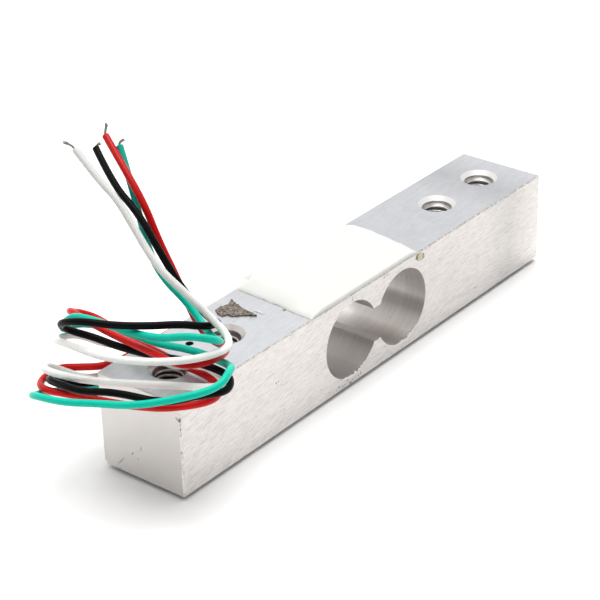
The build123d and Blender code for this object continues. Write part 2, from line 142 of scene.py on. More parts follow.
# Dents and scratches of the bar: face and its depth, then for each one its place along the face, its height, its half
# sizes (long, short, deep) and its turn, in millimetres and degrees. Their order sets how uneven each one is.
NICKS = [
    ("end", -37.46, [(-6.33, 9.8, 0.1, 0.4, 0.12, 0)]),
    ("end", -37.47, [
        (-6.34, 6.5, 0.1, 0.3, 0.11, 0), (-6.34, 4.6, 0.1, 0.24, 0.11, 0),
    ]),
    ("side", -6.5, [(-0.05, 5.35, 0.62, 0.8, 0.5, -20)]),
    ("side", -6.35, [
        (-20.25, 7.72, 0.2, 0.1, 0.08, 20), (-19.81, 7.73, 0.14, 0.07, 0.07, 70),
        (-19.29, 7.12, 0.12, 0.06, 0.06, 10), (-19.77, 7.1, 0.1, 0.05, 0.05, 0),
        (-20.81, 3.58, 0.45, 0.045, 0.05, 12), (-19.67, 3.41, 0.38, 0.045, 0.05, 14),
        (-18.9, 3.34, 0.16, 0.05, 0.05, 20), (-16.95, 3.49, 0.14, 0.06, 0.06, 0), (-16.4, 3.59, 0.16, 0.05, 0.05, 30),
        (22.02, 2.36, 0.13, 0.11, 0.1, 0), (20.11, 2.5, 0.07, 0.06, 0.05, 0), (28.03, 3.7, 0.07, 0.06, 0.05, 0),
        (22.5, 7.09, 0.1, 0.07, 0.05, 0), (-5.02, 12.5, 0.45, 0.04, 0.05, 93), (-3.18, 12.19, 0.6, 0.04, 0.05, 84),
        (1.61, 12.66, 0.18, 0.07, 0.06, 30), (2.25, 12.7, 0.12, 0.08, 0.07, 0), (2.89, 12.5, 0.1, 0.06, 0.05, 0),
        (1.46, 2.6, 0.1, 0.08, 0.06, 0), (0.82, 1.78, 0.11, 0.09, 0.07, 0), (3.09, 0.95, 0.12, 0.08, 0.08, 0),
        (5.06, 1.04, 0.1, 0.07, 0.06, 0), (0.24, 1.29, 0.22, 0.06, 0.05, 60), (-3.61, 1.22, 0.22, 0.1, 0.1, 60),
        (-4.08, 1.06, 0.16, 0.08, 0.09, 20), (-4.77, 1.04, 0.16, 0.07, 0.07, 50), (-5.33, 1.08, 0.2, 0.09, 0.09, 20),
        (-5.78, 0.85, 0.22, 0.16, 0.16, 40), (-6.34, 1.39, 0.18, 0.07, 0.07, 10), (-6.85, 1.04, 0.2, 0.07, 0.07, 30),
        (-7.43, 1.06, 0.22, 0.08, 0.07, 20), (-8.12, 1.25, 0.26, 0.1, 0.08, 0), (-8.62, 1.0, 0.14, 0.07, 0.06, 0),
        (-9.2, 0.9, 0.12, 0.06, 0.05, 20), (-9.91, 2.99, 0.09, 0.06, 0.05, 0), (-10.06, 1.45, 0.1, 0.06, 0.05, 0),
        (-10.91, 1.61, 0.1, 0.07, 0.05, 0), (-6.66, 1.98, 0.14, 0.06, 0.06, 20), (-7.59, 2.01, 0.12, 0.05, 0.05, 0),
        (-30.78, 1.93, 0.07, 0.05, 0.05, 0), (-33.09, 6.04, 0.1, 0.06, 0.05, 20),
        (-29.77, -0.53, 0.12, 0.08, 0.07, 0), (-31.45, 0.11, 0.07, 0.05, 0.05, 0),
        (-17.19, 12.96, 0.11, 0.07, 0.06, 0), (11.99, 2.08, 0.14, 0.06, 0.05, 20),
        (-15.71, 7.12, 0.07, 0.05, 0.04, 0), (-25.84, 5.97, 0.07, 0.05, 0.04, 0),
        (-12.38, 1.57, 0.14, 0.05, 0.05, 20), (-33.6, 3.9, 0.06, 0.05, 0.04, 0), (-23.29, 1.66, 0.06, 0.05, 0.04, 0),
        (15.42, 3.27, 0.08, 0.05, 0.04, 0),
    ]),
    ("end", -37.5, [
        (3.47, 1.98, 0.85, 0.05, 0.05, -48), (1.53, 3.68, 0.3, 0.07, 0.06, -48), (0.09, 4.86, 0.4, 0.05, 0.05, -85),
        (0.71, 3.24, 0.12, 0.06, 0.05, 0), (3.82, 0.78, 0.2, 0.05, 0.05, -50), (5.03, 0.03, 0.15, 0.05, 0.05, -60),
        (-5.99, 11.13, 0.35, 0.07, 0.08, 40), (-1.57, 7.82, 0.06, 0.05, 0.04, 0), (6.45, 0.42, 0.66, 0.76, 0.75, 0),
        (5.5, 0.42, 0.35, 0.16, 0.2, 0), (4.7, 0.4, 0.4, 0.22, 0.3, 0), (3.8, 0.4, 0.3, 0.2, 0.25, 0),
        (2.9, 0.42, 0.42, 0.15, 0.2, 0), (1.7, 0.42, 0.4, 0.12, 0.15, 0), (0.4, 0.44, 0.5, 0.1, 0.12, 0),
        (-1.4, 0.44, 0.6, 0.11, 0.12, 0), (-3.1, 0.45, 0.35, 0.09, 0.1, 0), (-4.9, 0.45, 0.3, 0.14, 0.12, 0),
        (-6.38, 0.42, 0.28, 0.3, 0.3, 0),
    ]),
    ("end", -37.53, [(-6.4, 11.05, 0.26, 0.34, 0.34, 0)]),
    ("side", -6.4, [
        (23.18, 13.22, 0.28, 0.13, 0.14, 0), (22.35, 13.22, 0.2, 0.09, 0.1, 0), (-19.07, 13.22, 0.35, 0.12, 0.12, 0),
        (-23.38, 13.22, 0.32, 0.1, 0.12, 0), (-25.39, 13.22, 0.2, 0.09, 0.1, 0), (-13.22, 13.22, 0.2, 0.1, 0.1, 0),
        (-4.97, 13.22, 0.25, 0.12, 0.12, 0), (13.73, 13.22, 0.2, 0.08, 0.08, 0), (11.71, 13.22, 0.15, 0.07, 0.08, 0),
        (-21.33, 13.22, 0.15, 0.07, 0.08, 0), (-15.45, 13.22, 0.15, 0.06, 0.07, 0),
        (29.66, 13.22, 0.2, 0.07, 0.08, 0), (18.05, 13.22, 0.25, 0.06, 0.06, 0),
    ]),
    ("side", -6.41, [
        (-33.9, 0.45, 0.3, 0.1, 0.12, 0), (-30.4, 0.45, 0.5, 0.1, 0.12, 0), (-26.0, 0.45, 0.35, 0.1, 0.12, 0),
        (-21.5, 0.45, 0.6, 0.1, 0.12, 0), (-15.0, 0.45, 0.4, 0.1, 0.12, 0), (-9.5, 0.45, 0.7, 0.1, 0.12, 0),
        (-4.0, 0.45, 0.4, 0.1, 0.12, 0), (4.0, 0.45, 0.5, 0.1, 0.12, 0), (12.0, 0.45, 0.4, 0.1, 0.12, 0),
        (21.0, 0.45, 0.6, 0.1, 0.12, 0), (29.0, 0.45, 0.4, 0.1, 0.12, 0), (35.5, 0.45, 0.5, 0.1, 0.12, 0),
    ]),
    ("side", -6.4, [(37.55, 0.42, 0.35, 0.3, 0.3, 0)]),
]

# The leads' ways in millimetres, from the silicone to the stripped end
LEAD_WAYS = {
    "white": [
        (-18, 7, 10.9), (-21, 7, 10.9), (-25.5, 7.2, 10.8), (-30.3, 7.7, 10.3), (-34.1, 8.8, 10.2),
        (-36.6, 9.3, 10.8), (-38.9, 11, 12.5), (-40.6, 11.5, 13.8), (-42.5, 10.2, 14.7), (-42.8, 7, 15),
        (-40.8, 3.2, 14.5), (-38.2, -1.6, 14.6), (-37.9, -6.2, 15.9), (-35.8, -9.8, 15.8), (-32.6, -10, 14.8),
        (-31.1, -7.8, 14.5), (-32, -4.9, 15.5), (-33.7, -2, 14.8), (-33, 3.6, 15.4), (-33.4, 8.8, 14.1),
        (-34.7, 11.8, 15.1), (-37.2, 12.2, 15.8), (-39.7, 10.7, 17), (-41, 6.2, 18.3), (-41.2, 1.9, 18.4),
        (-39.8, -3.2, 18.8), (-37.8, -6.6, 19.1), (-35.6, -8.8, 19.3), (-31.9, -9.4, 18.9), (-30, -7.8, 19.1),
        (-30, -5.8, 20.4), (-31.2, -3.3, 23.3), (-32, 0.4, 26), (-31, 3.9, 28.2), (-29.1, 9.1, 31.3),
        (-28, 13, 32.2), (-26.3, 18.3, 34.2),
    ],
    "black": [
        (-18, 7, 9.9), (-21, 7, 9.9), (-25.5, 7.4, 9.8), (-30.3, 8.2, 9.3), (-34, 9.4, 9), (-36.4, 10, 9.6),
        (-39.5, 11.3, 11.5), (-42.1, 10, 13.1), (-43.2, 6.2, 14.1), (-43.3, 3.1, 14.4), (-42.5, -1.4, 15.6),
        (-40.5, -7.1, 15.1), (-39.1, -10.6, 16.7), (-35.5, -12.1, 15.9), (-33.2, -10.8, 16.1), (-32.7, -8.8, 16.2),
        (-33.2, -5.7, 16.5), (-35.6, -1.3, 17), (-36, 3.8, 16.6), (-36, 7.9, 16.6), (-38.6, 9.6, 18.2),
        (-40.7, 8.7, 20.4), (-40.8, 4.8, 21.9), (-38.4, 1.8, 21.2), (-35.5, -1.1, 20.8), (-33.1, -3.4, 20.7),
        (-30.9, -5.1, 19.9), (-28.3, -5, 19.2), (-26.9, -2.7, 18.1), (-26.8, -0.3, 19.1), (-28.3, 1.1, 22.5),
        (-28.9, 3, 26), (-27.9, 7.3, 29.8), (-26.6, 12.1, 31.3), (-23.5, 17.7, 33.5),
    ],
    "green": [
        (-18, 7, 8.9), (-21, 7, 8.9), (-25.8, 7.1, 8.7), (-30.8, 7.2, 9), (-35.1, 8.4, 8.9), (-37.7, 9.3, 9.5),
        (-41.2, 11, 10.7), (-43.5, 10.8, 11.3), (-45.7, 8.9, 13.1), (-45.9, 3.6, 14.1), (-44.8, -0.2, 14.8),
        (-43.2, -5.1, 15.4), (-40.6, -10, 16.9), (-37.2, -12.5, 17.5), (-34.2, -11.6, 18.1), (-31, -8.9, 16.1),
        (-30.5, -2.8, 15.9), (-31.6, 2.1, 15.6), (-31.4, 6.6, 15.5), (-33.6, 12.5, 16.1), (-37.9, 11.6, 17),
        (-38.2, 9.4, 19.9), (-37.8, 6.8, 20.3), (-36.9, 2.7, 19.8), (-36.5, -2.7, 20.1), (-35.8, -7.1, 21.6),
        (-34.1, -8.9, 21), (-31.9, -8.5, 19.5), (-30.4, -5.6, 18.4), (-29.3, -3.3, 18.9), (-28.9, -0.5, 20.9),
        (-29.4, 2.3, 23.1), (-29, 4.7, 25.5), (-27.2, 7.6, 28.5), (-25.1, 10.8, 31.6), (-23.4, 13.8, 34.8),
    ],
    "red": [
        (-18, 7, 11.9), (-21, 7, 11.9), (-25.6, 7.2, 12), (-30.5, 7.4, 11.8), (-34.4, 8.1, 11.8),
        (-36.6, 10.6, 11.9), (-38.3, 12.2, 12.1), (-41.8, 11.8, 11.9), (-43.4, 9.2, 12.5), (-42.6, 5.2, 12.9),
        (-40.4, 0.2, 12.4), (-40.4, -3.1, 13.2), (-39.9, -7.2, 14.2), (-35.7, -9.6, 13.8), (-32.9, -8.9, 13.6),
        (-31.5, -6.1, 13.9), (-31.5, -1.6, 14), (-30.6, 5.3, 14), (-29.6, 9.8, 13.3), (-29, 13.5, 13.9),
        (-30.3, 15.2, 14.9), (-32.4, 15.3, 16), (-34.4, 13.2, 17.7), (-35.1, 8.1, 17.5), (-35.7, 3.2, 17.6),
        (-37, -2.7, 18.4), (-37.1, -6.5, 18.2), (-35.2, -8.3, 18.1), (-31.4, -8.2, 17.5), (-28.7, -6.3, 16.6),
        (-27.6, -2.5, 15.9), (-27.2, 0.1, 17.9), (-26.8, 2.7, 22.1), (-26.8, 5.2, 26.1), (-26.6, 7.3, 30.2),
        (-25.6, 11.3, 33.6), (-23.5, 15.9, 35.6),
    ],
}

# Painted shade toward the free ends: the share of each lead's colour left at the top
LEAD_END_SHADE = {"white": 0.66, "black": 1.0, "green": 0.62, "red": 0.8}

# Where the stripped ends bend to, in millimetres from the end of the insulation
TIP_WAYS = {
    "white": [(-0.14, 0.66, 0.57), (-0.56, 1.46, 0.91)],
    "black": [(0.29, -0.02, 0.40), (0.62, -0.26, 0.58)],
    "green": [(0.25, 0.10, 0.47), (0.69, -0.24, 0.70)],
    "red": [(0.29, 0.24, 0.70), (0.71, 0.32, 1.39)],
}


def length_setting(name, description, millimetres):
    return bpy.props.FloatProperty(name=name, description=description, default=millimetres * MM, unit="LENGTH")


def colour_setting(name, description, default):
    return bpy.props.FloatVectorProperty(name=name, description=description, subtype="COLOR", default=default)


def number_setting(name, description, default, **more):
    return bpy.props.FloatProperty(name=name, description=description, default=default, **more)


class StageSettings(bpy.types.PropertyGroup):
    """Floor, light and surroundings."""
    floor_size: length_setting("Floor size", "Width of the pale floor", 6000.0)
    floor_colour: colour_setting("Floor colour", "Colour of the floor where no shadow falls", (0.93, 0.925, 0.915))
    floor_lift: number_setting("Floor lift", "Light added to the floor as it is seen, so that it shows white", 0.01)
    sky_colour: colour_setting("Sky colour", "Colour of the light from all round", (1.0, 1.0, 1.0))
    sky_strength: number_setting("Sky strength", "Strength of the light from above and behind", 2.0)
    horizon_strength: number_setting("Room strength", "Strength of the light from the camera's side", 0.05)
    backdrop_mirrored: number_setting(
        "Backdrop in gloss", "Strength of the bright backdrop behind the cell, as gloss shows it", 0.98)
    room_mirrored: number_setting(
        "Room in gloss", "Strength of the dim room before the cell, as gloss shows it", 0.3)
    key_power: number_setting("Key light", "Power of the large soft lamp overhead", 1.8, unit="POWER")


class BarSettings(bpy.types.PropertyGroup):
    """The milled bar and its threads."""
    colour: colour_setting("Bar colour", "Colour of the bare aluminium", (0.626, 0.600, 0.585))
    roughness: number_setting("Roughness", "Roughness of the milled faces", 0.4, min=0.0, max=1.0)
    thread_major: length_setting("Thread major radius", "Radius of the bore that the thread stands in", 2.0)
    thread_minor: length_setting("Thread minor radius", "Radius at the thread's crest", 1.65)
    thread_pitch: length_setting("Thread pitch", "Rise of one turn of the thread", 0.7)
    sink_depth: length_setting("Countersink depth", "Depth of the cone above the thread", 0.55)


class SiliconeSettings(bpy.types.PropertyGroup):
    """The poured silicone and the dried adhesive."""
    colour: colour_setting("Silicone colour", "Colour of the cured silicone", (0.615, 0.615, 0.588))
    height: length_setting("Height", "Height of the silicone above the top face", 1.0)
    back_thickness: length_setting("Back thickness", "Thickness over the terminal board", 1.4)
    residue_colour: colour_setting(
        "Residue colour", "Colour of the dried adhesive on the top face", (0.25, 0.205, 0.17))


class LeadSettings(bpy.types.PropertyGroup):
    """The four leads and their stripped ends."""
    diameter: length_setting("Lead diameter", "Diameter of the insulation", 0.9)
    strand_diameter: length_setting("Strand diameter", "Diameter of one strand of the conductor", 0.11)
    strand_count: bpy.props.IntProperty(
        name="Strands", description="Strands round the middle one", default=6, min=3, max=12)
    red: colour_setting("Red", "Colour of the red lead", (0.60, 0.006, 0.006))
    white: colour_setting("White", "Colour of the white lead", (0.87, 0.865, 0.84))
    black: colour_setting("Black", "Colour of the black lead", (0.005, 0.0045, 0.005))
    green: colour_setting("Green", "Colour of the green lead", (0.0, 0.54, 0.39))


def settings(name):
    return getattr(bpy.context.scene, f"cell_{name}")


class Tree:
    """Short ways to add and join the nodes of a material or a world."""

    def __init__(self, owner):
        owner.use_nodes = True
        self.nodes = owner.node_tree.nodes
        self.links = owner.node_tree.links

    def add(self, kind):
        return self.nodes.new("ShaderNode" + kind)

    def put(self, value, socket):
        if isinstance(value, bpy.types.NodeSocket):
            self.links.new(value, socket)
        else:
            socket.default_value = value

    def maths(self, operation, first, second=0.0):
        node = self.add("Math")
        node.operation = operation
        self.put(first, node.inputs[0])
        self.put(second, node.inputs[1])
        return node.outputs["Value"]

    def plus(self, first, *others):
        for other in others:
            first = self.maths("ADD", first, other)
        return first

    def times(self, first, *others):
        for other in others:
            first = self.maths("MULTIPLY", first, other)
        return first

    def minus(self, first, second):
        return self.maths("SUBTRACT", first, second)

    def size(self, value):
        return self.maths("ABSOLUTE", value)

    def least(self, first, *others):
        for other in others:
            first = self.maths("MINIMUM", first, other)
        return first

    def distance(self, first, second):
        squares = self.plus(self.maths("POWER", first, 2.0), self.maths("POWER", second, 2.0))
        return self.maths("SQRT", squares)

    def span(self, value, low, high, out_low=0.0, out_high=1.0):
        """Value from low to high, drawn over out_low to out_high and held at both ends."""
        node = self.add("MapRange")
        for name, number in zip(
                ("Value", "From Min", "From Max", "To Min", "To Max"), (value, low, high, out_low, out_high)):
            self.put(number, node.inputs[name])
        return node.outputs["Result"]

    def fade(self, value, low, high, start=1.0):
        """From start at low down to nothing at high."""
        return self.span(value, low, high, start, 0.0)


class MaterialTree(Tree):
    """The nodes of one material, its shader and its patterns."""

    def __init__(self, name, colour, metallic, roughness):
        self.material = bpy.data.materials.new(name)
        super().__init__(self.material)
        self.shader = self.nodes["Principled BSDF"]
        self.set("Base Color", (*colour, 1))
        self.set("Metallic", metallic)
        self.set("Roughness", roughness)

    def set(self, name, value):
        """Gives the shader's own socket a value or a pattern."""
        self.put(value, self.shader.inputs[name])

    def place(self, stretch=(1, 1, 1), turn=(0, 0, 0)):
        """Object coordinates in millimetres, turned and then stretched."""
        mapping = self.add("Mapping")
        mapping.vector_type = "TEXTURE"
        self.put(self.add("TexCoord").outputs["Object"], mapping.inputs["Vector"])
        self.put([MM / s for s in stretch], mapping.inputs["Scale"])
        self.put(turn, mapping.inputs["Rotation"])
        return mapping.outputs["Vector"]

    def axes(self, vector=None):
        """X, Y and Z of a vector, or else of the place in millimetres."""
        node = self.add("SeparateXYZ")
        self.put(vector or self.place(), node.inputs[0])
        return [node.outputs[axis] for axis in "XYZ"]

    def noise(self, vector, detail, roughness):
        node = self.add("TexNoise")
        for name, value in (("Vector", vector), ("Scale", 1.0), ("Detail", detail), ("Roughness", roughness)):
            self.put(value, node.inputs[name])
        return node.outputs["Fac"]

    def grain(self, fineness, detail=3.0, roughness=0.6, turn=(0, 0, 0)):
        """Noise with about so many grains a millimetre, given once or for each axis."""
        stretch = fineness if isinstance(fineness, tuple) else (fineness,) * 3
        return self.noise(self.place(stretch, turn), detail, roughness)

    def ramp(self, value, stops):
        """Number read off a line through (value, number) stops."""
        node = self.add("ValToRGB")
        low, high = stops[0][0], stops[-1][0]
        self.put(self.span(value, low, high), node.inputs["Fac"])
        for i, (place, number) in enumerate(stops):
            share = (place - low) / (high - low)
            stop = node.color_ramp.elements[0] if i == 0 else node.color_ramp.elements.new(share)
            stop.position = share
            stop.color = (number, number, number, 1)
        node.color_ramp.elements.remove(node.color_ramp.elements[-1])
        return node.outputs["Color"]

    def dim(self, colour, factor):
        """Colour times a number."""
        node = self.add("VectorMath")
        node.operation = "SCALE"
        self.put(colour, node.inputs[0])
        self.put(factor, node.inputs["Scale"])
        return node.outputs["Vector"]

    def blend(self, factor, first, second):
        """Colour mixed from first to second by a factor."""
        node = self.add("Mix")
        node.data_type = "RGBA"
        self.put(factor, node.inputs["Factor"])
        for colour, socket in ((first, node.inputs[6]), (second, node.inputs[7])):
            self.put(colour if isinstance(colour, bpy.types.NodeSocket) else (*colour, 1), socket)
        return node.outputs[2]

    def coat(self, base, colour, *shares):
        """Base with a colour over it, as much as the product of the shares."""
        return self.blend(self.times(*shares), base, colour)

    def mottled(self, grain, colour, darker):
        """Colour that the grain takes down to so much of itself."""
        return self.blend(self.span(grain, 0.3, 0.7), tone(colour, darker), colour)

    def bump(self, height, distance, strength=1.0):
        node = self.add("Bump")
        for name, value in (("Distance", distance), ("Strength", strength), ("Height", height)):
            self.put(value, node.inputs[name])
        self.set("Normal", node.outputs["Normal"])

    def lit_through(self, weight, radius):
        """Light that passes under the surface, by radius in metres."""
        self.set("Subsurface Weight", weight)
        self.set("Subsurface Radius", radius)
        self.set("Subsurface Scale", 1.0)


def tone(colour, factor):
    return [min(c * factor, 1) for c in colour]


def show(obj):
    if obj.name not in bpy.context.scene.collection.objects:
        bpy.context.scene.collection.objects.link(obj)


def finish_piece(obj, material, replaces=()):
    """Every new piece rides on the one body, has a finish and may stand for frame nodes."""
    show(obj)
    obj.data.materials.clear()
    obj.data.materials.append(material)
    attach(obj, BODY)
    if replaces:
        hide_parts(*replaces)


def smooth_faces(bm, angle):
    """Shades faces smooth, but for the edges between them that turn by the angle or more."""
    for face in bm.faces:
        face.smooth = True
    for edge in bm.edges:
        edge.smooth = edge.is_manifold and edge.calc_face_angle(0.0) < math.radians(angle)


def mesh_piece(name, bm, smooth_angle=None):
    """Mesh object from a bmesh, shaded smooth up to an angle in degrees where one is given."""
    if smooth_angle is not None:
        smooth_faces(bm, smooth_angle)
    mesh = bpy.data.meshes.new(name)
    bm.to_mesh(mesh)
    bm.free()
    return bpy.data.objects.new(name, mesh)


def evaluated_mesh(obj):
    show(obj)
    return bpy.data.meshes.new_from_object(obj.evaluated_get(bpy.context.evaluated_depsgraph_get()))


def apply_modifiers(obj):
    mesh = evaluated_mesh(obj)
    obj.modifiers.clear()
    old = obj.data
    obj.data = mesh
    mesh.name = obj.name
    bpy.data.meshes.remove(old)


def remesh(obj, voxel, smoothing=0):
    """Even mesh with voxels of so many millimetres, smoothed a number of times."""
    even = obj.modifiers.new("even", "REMESH")
    even.mode = "VOXEL"
    even.voxel_size = voxel * MM
    if smoothing:
        soften = obj.modifiers.new("soften", "SMOOTH")
        soften.factor = 0.5
        soften.iterations = smoothing
    apply_modifiers(obj)


def doubled(bm):
    """Adds a copy of a sheet, joined to it by walls, and gives the copy's points."""
    made = bmesh.ops.extrude_face_region(bm, geom=bm.faces[:], use_keep_orig=True)
    return [v for v in made["geom"] if isinstance(v, bmesh.types.BMVert)]


def thicken(bm, way):
    """Makes a sheet a closed body, as thick as the way from its one face to the other."""
    bmesh.ops.translate(bm, verts=doubled(bm), vec=way)
    bmesh.ops.recalc_face_normals(bm, faces=bm.faces[:])


def lerp(low, high, share):
    return low + (high - low) * share


def step(value, low, high):
    """From 0 at low to 1 at high, smoothly."""
    share = min(max((value - low) / (high - low), 0.0), 1.0)
    return share * share * (3 - 2 * share)


def along_table(table, y):
    """Value at y on a line through (y, value) pairs, smoothly between them."""
    for (y0, v0), (y1, v1) in zip(table, table[1:]):
        if y <= y1:
            return lerp(v0, v1, step(y, y0, y1))
    return table[-1][1]


def aluminium_material():
    """Milled aluminium: brush lines on the sides, a finer sanded top, turned rings in the bores and small nicks. Light
    and shade are painted in too: a darker, bluer top, darker end faces, faces darker toward the far end and brighter
    toward the bottom, bands in the bores, and highlights on the cusp, the far countersinks and the edges.
    """
    bar = settings("bar")
    tree = MaterialTree("Milled aluminium", bar.colour, 1.0, bar.roughness)
    across, on_side, on_top = (
        tree.span(tree.size(part), 0.9, 0.95) for part in tree.axes(tree.add("NewGeometry").outputs["Normal"]))
    x, y, z = tree.axes()
    reach = tree.size(x)
    on_end = tree.times(across, tree.span(reach, HALF_LENGTH - 0.3, HALF_LENGTH - 0.2))
    bored_reach = BORE_X + BORE_RADIUS
    inside = tree.times(
        tree.fade(reach, bored_reach + 0.1, bored_reach + 0.2),
        tree.fade(tree.size(tree.minus(z, MID_HEIGHT)), BORE_RADIUS + 0.3, BORE_RADIUS + 0.4))
    on_bore = tree.times(inside, tree.minus(1.0, on_side))

    slope = tree.minus(0.11, tree.times(x, 0.0013))
    slant = tree.minus(z, tree.times(x, slope))
    side_lines = tree.noise(brushed(tree, x, y, slant, 0.3, 6.5), 4.0, 0.7)
    side_fine = tree.noise(brushed(tree, x, y, slant, 0.9, 13.0), 3.0, 0.7)
    top_lines = tree.grain((0.35, 7.0, 1), 3.0, 0.55)
    sanded = tree.grain((9.0, 0.5, 1), 2.0, 0.5, (0, 0, math.radians(-4)))
    grain = tree.grain(7)
    rings = tree.grain((0.05, 7.0, 0.05), 3.0, 0.7)
    end_lines = tree.grain((1, 5.0, 0.5), 3.0, 0.5, (math.radians(8), 0, 0))
    blotches = tree.grain(0.35, 4.0)
    tone_spots = tree.grain((0.7, 1.6, 1.0), 5.0, 0.7)

    near_silicone = tree.fade(tree.size(tree.plus(x, 14.0)), 1.0, 3.5, 0.7)
    side_height = tree.plus(tree.times(side_lines, 1.3), tree.times(side_fine, 0.9))
    top_height = tree.plus(tree.times(top_lines, 0.5), tree.times(grain, 0.5), tree.times(sanded, near_silicone))
    tree.bump(tree.plus(
        tree.times(side_height, on_side), tree.times(top_height, on_top), tree.times(end_lines, 0.45, on_end),
        tree.times(rings, 1.6, on_bore)), 0.009 * MM)

    base = tree.blend(tree.span(blotches, 0.3, 0.7), tone(bar.colour, 0.95), tone(bar.colour, 1.03))
    base = tree.coat(base, tone(bar.colour, 0.55), tree.fade(side_lines, 0.32, 0.5), on_side, 0.38)
    base = tree.coat(base, tone(bar.colour, 0.5), tree.fade(side_fine, 0.34, 0.46), on_side, 0.62)
    base = tree.coat(base, tone(bar.colour, 1.25), tree.span(side_fine, 0.56, 0.7), on_side, 0.6)
    streaks = tree.plus(tree.span(top_lines, 0.3, 0.7, 0.0, 0.5), tree.span(tone_spots, 0.3, 0.7, 0.0, 0.5))
    # Painted shade: the top face darker and bluer than the sides, as the light falls on it, over its real streaks
    base = tree.coat(base, tree.blend(streaks, *TOP_SHADED_TONES), on_top, 0.95)
    # Painted shade: the end faces a tenth darker
    base = tree.coat(base, tone(bar.colour, 0.90), on_end)
    # Painted shade: the faces darker toward the far end
    base = tree.dim(base, tree.times(tree.ramp(x, BAR_PAINTED_SHADE), 1.06))
    # Painted light: the faces brighter toward the bottom, by up to 11 percent
    base = tree.dim(base, tree.span(z, 0.5, 7.5, 1.11, 1.0))
    # Painted highlight on the countersinks of the far holes
    base = tree.coat(
        base, SINK_PAINTED_HIGHLIGHT, tree.span(z, SINK_HEIGHT - 0.1, SINK_HEIGHT + 0.1), tree.fade(tree.size(y), 3.0, 3.2),
        tree.minus(1.0, on_top), tree.span(x, 10.0, 15.0, 0.0, 0.7))

    # Painted light and shade in the bores: bright and dark bands by height, with the turned rings, and the near bore
    # darker
    painted_shine = tree.plus(tree.ramp(z, BORE_PAINTED_LIGHT), tree.span(rings, 0.3, 0.7, -0.14, 0.14))
    bored = tree.dim(tree.blend(painted_shine, *BORE_LIT_AND_SHADED_TONES), tree.span(x, -3.5, 0.5, 0.73, 1.0))
    base = tree.coat(base, bored, on_bore, 0.95)
    # Painted highlight on the cusp between the bores, at the front face
    cusp = tree.distance(tree.plus(x, 0.05), tree.minus(z, 5.35))
    base = tree.coat(base, CUSP_PAINTED_HIGHLIGHT, tree.fade(cusp, 0.6, 0.9, 0.8), tree.fade(y, -6.1, -5.5), inside)
    base = tree.coat(base, SPECK_TONE, tree.span(tree.grain((1.6, 3.0, 3.0), 2.0, 0.5), 0.72, 0.76), 0.6)
    base = edge_wear_and_highlights(tree, x, y, z, base)
    # Dents and scratches darker than the faces round them
    tree.set("Base Color", tree.coat(base, DARK_MARK_TONE, sunk(tree, x, y, z), 0.85))
    tree.set("Roughness", tree.plus(
        tree.span(blotches, 0.3, 0.7, -0.04, 0.04), bar.roughness, tree.times(on_bore, 0.08)))
    return tree.material


def brushed(tree, x, y, slant, along, across):
    """Coordinates drawn out along the brush lines of the sides."""
    joined = tree.add("CombineXYZ")
    for axis, value in zip("XYZ", (tree.times(x, along), y, tree.times(slant, across))):
        tree.put(value, joined.inputs[axis])
    return joined.outputs["Vector"]


def sunk(tree, x, y, z):
    """One in dents and scratches, which lie under the bar's faces but on no bore's wall."""
    reach = tree.size(x)
    rooms = [
        tree.minus(half, tree.size(tree.minus(value, middle)))
        for value, middle, half in ((x, 0.0, HALF_LENGTH), (y, 0.0, HALF_SIDE), (z, MID_HEIGHT, HALF_SIDE))]
    past_edge = tree.least(*(tree.plus(rooms[i], rooms[i - 1]) for i in range(3)))
    bore = tree.distance(tree.minus(reach, BORE_X), tree.minus(z, MID_HEIGHT))
    pair_middle = sum(HOLE_PLACES) / 2
    beside = tree.size(tree.minus(reach, pair_middle))
    hole = tree.distance(tree.minus(beside, HOLE_PLACES[1] - pair_middle), y)
    return tree.times(
        tree.span(tree.least(*rooms), 0.012, 0.03), tree.span(bore, BORE_RADIUS + 0.02, BORE_RADIUS + 0.04),
        tree.span(hole, SINK_RADIUS + 0.1, SINK_RADIUS + 0.15), tree.span(reach, RELIEF_REACH, RELIEF_REACH + 0.02),
        tree.span(past_edge, EDGE_BREAK + 0.01, EDGE_BREAK + 0.06))


def edge_wear_and_highlights(tree, x, y, z, base):
    """Dark and bright ticks along the top edge and the upright edge that face the camera; the bright ticks are wear
    with a painted highlight.
    """
    along_top = tree.span(z, TOP_HEIGHT - 0.22, TOP_HEIGHT - 0.12)
    upright = tree.span(x, 0.3 - HALF_LENGTH, 0.2 - HALF_LENGTH)
    on_side = tree.span(y, 0.23 - HALF_SIDE, 0.13 - HALF_SIDE)
    patches = tree.span(tree.grain(0.3), 0.36, 0.52)
    edge = tree.times(tree.maths("MAXIMUM", along_top, upright), on_side, patches)
    ticks = tree.grain(1.6, 6.0, 0.85)
    base = tree.coat(base, DARK_MARK_TONE, edge, tree.span(ticks, 0.48, 0.62), 0.75)
    # Bright ticks: wear with a painted highlight, stronger toward the top edge
    return tree.coat(
        base, WEAR_AND_HIGHLIGHT_TONE, edge, tree.span(ticks, 0.44, 0.36), tree.span(z, 12.6, 12.9, 0.25, 0.9))


def bright_metal(name, colour, roughness, fineness):
    """Small bare metal pieces: strands, burrs, solder, foil."""
    tree = MaterialTree(name, colour, 1.0, roughness)
    grain = tree.grain(fineness)
    tree.bump(grain, 0.003 * MM)
    tree.set("Base Color", tree.mottled(grain, colour, 0.85))
    return tree.material


def thread_material(name, flank):
    """Cut thread: painted highlight on the crests, and painted shade on the flanks in the tone given."""
    tree = MaterialTree(name, (0.6, 0.58, 0.56), 1.0, 0.36)
    crest = tree.add("Attribute")
    crest.attribute_name = "crest"
    grain = tree.grain(7)
    # Painted highlight on the crests, by the crest share of the mesh, and painted shade on the flanks
    painted_shine = tree.span(tree.plus(crest.outputs["Fac"], tree.times(grain, 0.3)), 0.75, 1.05)
    tree.set("Base Color", tree.blend(painted_shine, flank, (0.80, 0.78, 0.76)))
    tree.bump(grain, 0.006 * MM)
    return tree.material


